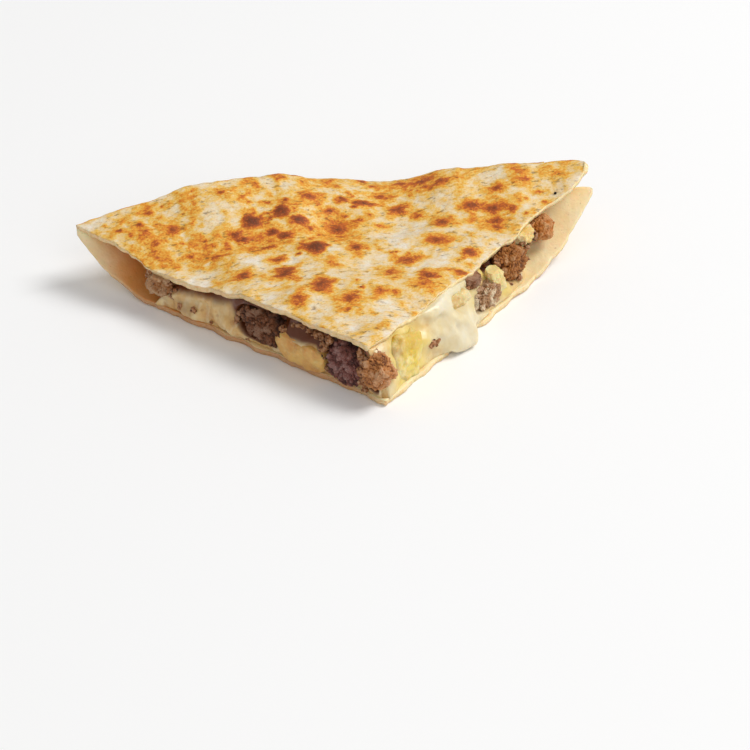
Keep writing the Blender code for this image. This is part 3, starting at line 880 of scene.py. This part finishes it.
def fried_mince(name, light, dark, film=0.0):
    """Grains of fried mince: their own colour where they stand out, with painted highlights where
    they stand out most, painted shade in the crevices, unevenly browned, and on some clumps a
    film of melted cheese."""
    mince = Finish(name, glow=0.05, deep=0.001, gloss=0.3)
    tone = mince.grain(0.0017, 4.0)
    fine = mince.grain(0.0005, 3.0)
    # Painted shade: the deeper a point lies below the clump's outline, as painted, the darker it is,
    # down to near black.
    outer = 1.0 - mince.painted("crevice_shade_and_tone")
    # Painted highlight: the top stop is a glint colour, the light colour moved part way to a pale grey.
    glint = [0.72 * part + 0.28 * 230 for part in light]
    colour = mince.ramp(
        outer * 0.62 + tone * 0.42 + fine * 0.34 - 0.08,
        (0.14, 22, 10, 6),
        (0.42, *dark),
        (0.70, *light),
        (0.98, *glint),
    )
    if film:
        filmed = mince.step(mince.grain(0.0040, 3.0), 0.48, 0.58) * film
        colour = mince.mix(filmed, colour, (236, 220, 186))
    return mince.finish(colour, fine + tone, 0.0004, 0.34 + 0.3 * tone)


MINCE = {
    "meat_left_back": ("mince in cheese", (158, 98, 44), (92, 48, 20), 0.18),
    "meat_left_middle": ("dark mince", (116, 66, 34), (56, 28, 14)),
    "meat_left_front": ("shaded mince", (124, 72, 62), (62, 30, 28)),
    "meat_tip": ("browned mince", (196, 130, 72), (110, 62, 34)),
    "meat_right_front": ("filmed mince", (178, 132, 90), (112, 74, 48), 0.65),
    "meat_right_top": ("small mince", (136, 84, 50), (72, 38, 22)),
    "meat_right_middle": ("side mince", (172, 108, 48), (98, 52, 22)),
    "meat_right_back": ("end mince", (190, 114, 42), (120, 64, 24)),
}
# Two clumps are torn back above a height, on the part nearer the tip than a place, and
# painted shade darkens the torn part.
HOLLOWED = {"meat_left_middle": (0.0120, 0.0480), "meat_left_front": (0.0140, 0.0190)}
for label, side, along, depth, height, radii, turn, seed in PIECES:
    if label in MINCE:
        directions, faces = ball(7 if max(radii) > 0.0077 else 6)
        outline, grains, crevice_shade_and_tone = grainy_reach(directions, np.array(radii) * 1.06, seed)
        points = set_in_cut(directions, outline, grains, side, along, depth, height, turn)
        low, start = HOLLOWED.get(label, (1.0, 0.0))
        torn = blend((points[:, 2] - low) / 0.003) * blend((start - points @ ALONG_LEFT) / 0.003)
        points += np.multiply.outer(TORN_BACK * torn, ALONG_RIGHT)
        # Painted shade: the torn-back part is as dark as the deepest grains.
        crevice_shade_and_tone = np.maximum(crevice_shade_and_tone, torn)
        looks = (fried_mince(*MINCE[label]),)
        clump = new_piece(label + "_mince", points, faces.tolist(), looks, [label])
        paint(clump, "crevice_shade_and_tone", crevice_shade_and_tone)

# Loose crumbs of meat lie on the cuts round the clumps and on the cheese, pressed in by the
# knife. One joined piece. For each cut, in millimetres: how far along it, how high, how far
# behind its face, and the radius. One burnt crumb lies on the crust at the right.

CRUMBS_ON_CUTS = (
    ("left", (
        (85.5, 6.2, -0.5, 1.3), (82.6, 4.6, -0.5, 1.0), (80.0, 7.0, -0.5, 1.1), (72.6, 4.4, -0.5, 0.6),
        (79.0, 4.4, -0.5, 0.6), (99.8, 13.2, 0.8, 1.3), (90.2, 8.4, 0.7, 1.2), (92.0, 12.6, 1.0, 1.2),
        (88.4, 10.8, 0.7, 1.0), (97.0, 9.0, 0.8, 1.0), (101.5, 12.0, 0.9, 0.8), (61.2, 9.5, 0.4, 1.4),
        (60.6, 12.6, 0.6, 1.2), (59.4, 5.6, 0.4, 1.3), (57.0, 3.8, 0.5, 1.0), (42.4, 12.8, 1.0, 1.4),
        (42.8, 9.4, 0.6, 1.2), (25.6, 12.6, 0.9, 1.5), (25.9, 8.8, 0.5, 1.3), (24.6, 5.2, 0.5, 1.2),
        (23.4, 16.2, 1.2, 1.5), (9.4, 6.4, 0.4, 1.9), (9.9, 10.4, 0.3, 2.0), (9.2, 14.0, 0.5, 1.8),
        (8.6, 3.6, 0.5, 1.5), (10.4, 16.4, 1.0, 1.5), (16.0, 2.6, 0.6, 1.0),
    )),
    ("right", (
        (1.8, 15.2, 0.6, 1.7), (4.2, 13.2, 0.7, 1.4), (3.0, 17.0, 1.0, 1.2), (26.4, 8.5, -1.0, 1.7),
        (28.4, 7.8, -1.2, 1.2), (25.4, 10.0, -0.7, 1.0), (51.6, 14.6, 0.6, 1.0), (62.8, 5.0, 0.4, 0.9),
        (84.8, 15.2, 0.6, 1.3), (88.6, 14.2, 0.6, 1.4), (91.6, 14.4, 0.7, 1.5), (87.0, 12.4, 0.6, 1.0),
        (90.2, 16.6, 0.9, 1.1), (79.0, 4.9, 0.4, 0.9), (73.2, 5.4, 0.3, 0.8), (71.0, 14.4, 1.6, 1.4),
        (85.8, 8.6, 0.7, 0.7),
    )),
    ("left", (
        (39.6, 13.8, 3.4, 1.6), (36.4, 14.6, 4.0, 1.8), (33.0, 14.4, 3.8, 1.7), (29.8, 14.0, 3.6, 1.6),
        (27.6, 14.8, 3.0, 1.5), (31.4, 12.6, 3.2, 1.1), (26.6, 11.6, 2.0, 1.4),
    )),
)
BURNT_PLACE = np.array([0.0719, 0.0807])
BURNT_RADIUS = 0.0005
BURNT_CREVICE = 1.6


def crumb_reach(directions, radius, seed):
    """A knobbly crumb: a ball whose reach takes long and short random waves."""
    return radius * (1.0 + relief(directions, ((0.20, 1.5, seed), (0.10, 0.55, seed + 1))))


crumb_directions, crumb_faces = ball(4)
crumb_points, crumb_meshes = [], []
every_crumb = [(side, *row) for side, rows in CRUMBS_ON_CUTS for row in rows]
for number, (side, along, height, depth, radius) in enumerate(every_crumb):
    reach = crumb_reach(crumb_directions, radius / 1e3, 300 + 2 * number)
    place = (side, along / 1e3, depth / 1e3, height / 1e3, (0, 0, 0))
    crumb_points.append(set_in_cut(crumb_directions, reach, 0.0 * reach, *place))
    crumb_meshes.append(crumb_faces + number * len(crumb_directions))
# On the crumbs this paint is a random darkness of their own, and on the burnt crumb its own near black;
# it holds no shade.
crumb_depths = 0.35 + 0.3 * uneven(np.concatenate(crumb_points), 0.0012, 299)
from_burnt = np.linalg.norm(upper_points[..., :2] - BURNT_PLACE, axis=-1)
burnt_centre = upper_points.reshape(-1, 3)[np.argmin(from_burnt)] + (0.0, 0.0, 0.5 * BURNT_RADIUS)
crumb_points.append(burnt_centre + BURNT_RADIUS * crumb_directions)
crumb_meshes.append(crumb_faces + len(every_crumb) * len(crumb_directions))
crumb_depths = np.append(crumb_depths, np.full(len(crumb_directions), BURNT_CREVICE))
loose = fried_mince("loose crumbs", (168, 112, 68), (100, 60, 34))
all_points, all_faces = np.concatenate(crumb_points), np.concatenate(crumb_meshes).tolist()
crumbs = new_piece("meat_crumbs", all_points, all_faces, (loose,))
paint(crumbs, "crevice_shade_and_tone", crumb_depths)

# The potato
# Boiled potato, broken by hand: rounded slabs and sticks, waxy yellow, mealy where the knife
# went through, and stained brown by the meat's juices on the left.


def slab_reach(directions, radii, power):
    """A box with well rounded edges: a power sum of the direction over the radii, undone."""
    return (np.abs(directions / radii) ** power).sum(axis=1) ** (-1.0 / power)


def boiled_potato(name, light, deep, filmed, deeper_on_top=0.0):
    """Waxy potato, mottled between a light and a deep yellow, with cheese over its edges, and
    for some pieces a deeper yellow towards the top.
    """
    potato = Finish(name, glow=0.3, deep=0.003, coat=0.1)
    soft = potato.grain(0.0048, 3.0)
    colour = potato.ramp(soft, (0.34, *deep), (0.64, *light))
    mealy = potato.step(potato.grain(0.0016, 4.0), 0.52, 0.70)
    colour = potato.mix(mealy * (0.2 + 0.4 * filmed), colour, (238, 222, 172))
    if deeper_on_top:
        # A deeper, darker yellow towards the top of the piece.
        upper_part = potato.step(potato.axis(2), 0.009, 0.016)
        colour = potato.mix(upper_part * deeper_on_top, colour, (206, 160, 46))
    film = potato.step(potato.painted("edge") + (soft - 0.5) * 1.2, 0.15, 0.65)
    colour = potato.mix(film * filmed, colour, (232, 218, 176))
    return potato.finish(colour, potato.grain(0.0009, 3.0) + soft, 0.0004, 0.38 + 0.2 * soft)


POTATO = {
    "potato_left": ("stained potato", (228, 182, 100), (204, 144, 70), 0.0),
    "potato_tip": ("yellow potato", (236, 214, 120), (224, 192, 66), 0.7, 0.55),
    "potato_right": ("clear potato", (228, 206, 144), (204, 164, 92), 0.8),
    "potato_stick": ("pale potato", (238, 220, 156), (226, 196, 118), 0.3),
    "potato_right_back": ("back potato", (238, 210, 138), (224, 182, 98), 0.5),
}
potato_directions, potato_faces = ball(5)
for label, side, along, depth, height, radii, turn, seed in PIECES:
    if label in POTATO:
        power, lumpy = (3.4, 0.05) if side == "left" else (2.4, 0.08)
        reach = slab_reach(potato_directions, np.array(radii) * 1.08, power)
        reach *= 1.0 + lumpy * uneven(potato_directions, 1.0, len(label))
        crumbly = 0.5 * lumpy * reach * uneven(potato_directions, 0.4, 7)
        points = set_in_cut(potato_directions, reach, crumbly, side, along, depth, height, turn)
        looks = (boiled_potato(*POTATO[label]),)
        slab = new_piece(label + "_slab", points, potato_faces.tolist(), looks, [label])
        outward, upward = np.abs(potato_directions[:, 1]), potato_directions[:, 2].clip(0.0)
        paint(slab, "edge", 1.0 - outward - 0.7 * upward)

# The table, the light and the camera
# A plain pale floor under soft studio light: a big lamp from the right and behind, the sky
# white all round, as the photograph's cuts are bright on the right and dim on the left.

floor_mesh = bpy.data.meshes.new("floor")
floor_mesh.from_pydata([(-3, -3, 0), (3, -3, 0), (3, 3, 0), (-3, 3, 0)], [], [(0, 1, 2, 3)])
floor_mesh.materials.append(Finish("pale floor", roughness=0.9).finish((0.955, 0.955, 0.955, 1.0)))
floor = put("floor", floor_mesh)

sky = bpy.data.worlds.new("white studio")
sky.use_nodes = True
sky.node_tree.nodes["Background"].inputs["Color"].default_value = (1.0, 0.995, 0.985, 1.0)
sky.node_tree.nodes["Background"].inputs["Strength"].default_value = 0.42
bpy.context.scene.world = sky


def lamp(name, place, size, power):
    """A square soft lamp that faces the wedge."""
    light = bpy.data.lights.new(name, "AREA")
    light.shape, light.size, light.energy = "SQUARE", size, power
    back = Vector(place)
    put(name, light).matrix_world = Matrix.LocRotScale(back, back.to_track_quat("Z", "Y"), None)


lamp("key", (2.25, 0.15, 2.85), 1.5, 86.0)
lamp("front", (1.05, -3.0, 2.1), 2.4, 26.0)

AZIMUTH, ELEVATION, ROLL = (math.radians(angle) for angle in (-7.064, 36.179, -2.19))
LENS_IN_FRAMES = 2.97
CAMERA_AWAY = 0.750
CAMERA_SHIFTED = (-0.004413, 0.029993)
AIM = np.array([0.0, 0.055, 0.010])

back = np.array([math.sin(AZIMUTH), -math.cos(AZIMUTH), 0.0]) * math.cos(ELEVATION)
back[2] = math.sin(ELEVATION)
level_right = np.array([math.cos(AZIMUTH), math.sin(AZIMUTH), 0.0])
level_up = np.cross(back, level_right)
right = level_right * math.cos(ROLL) + level_up * math.sin(ROLL)
up = level_up * math.cos(ROLL) - level_right * math.sin(ROLL)
eye = FRONT_TIP + AIM + back * CAMERA_AWAY - right * CAMERA_SHIFTED[0] - up * CAMERA_SHIFTED[1]
camera = put("camera", bpy.data.cameras.new("camera"))
pose = np.eye(4)
pose[:3, :3] = np.column_stack((right, up, back))
pose[:3, 3] = eye
camera.matrix_world = Matrix(pose.tolist())
camera.data.lens = LENS_IN_FRAMES * camera.data.sensor_width
bpy.context.scene.camera = camera
bpy.context.scene.view_settings.view_transform = "Standard"
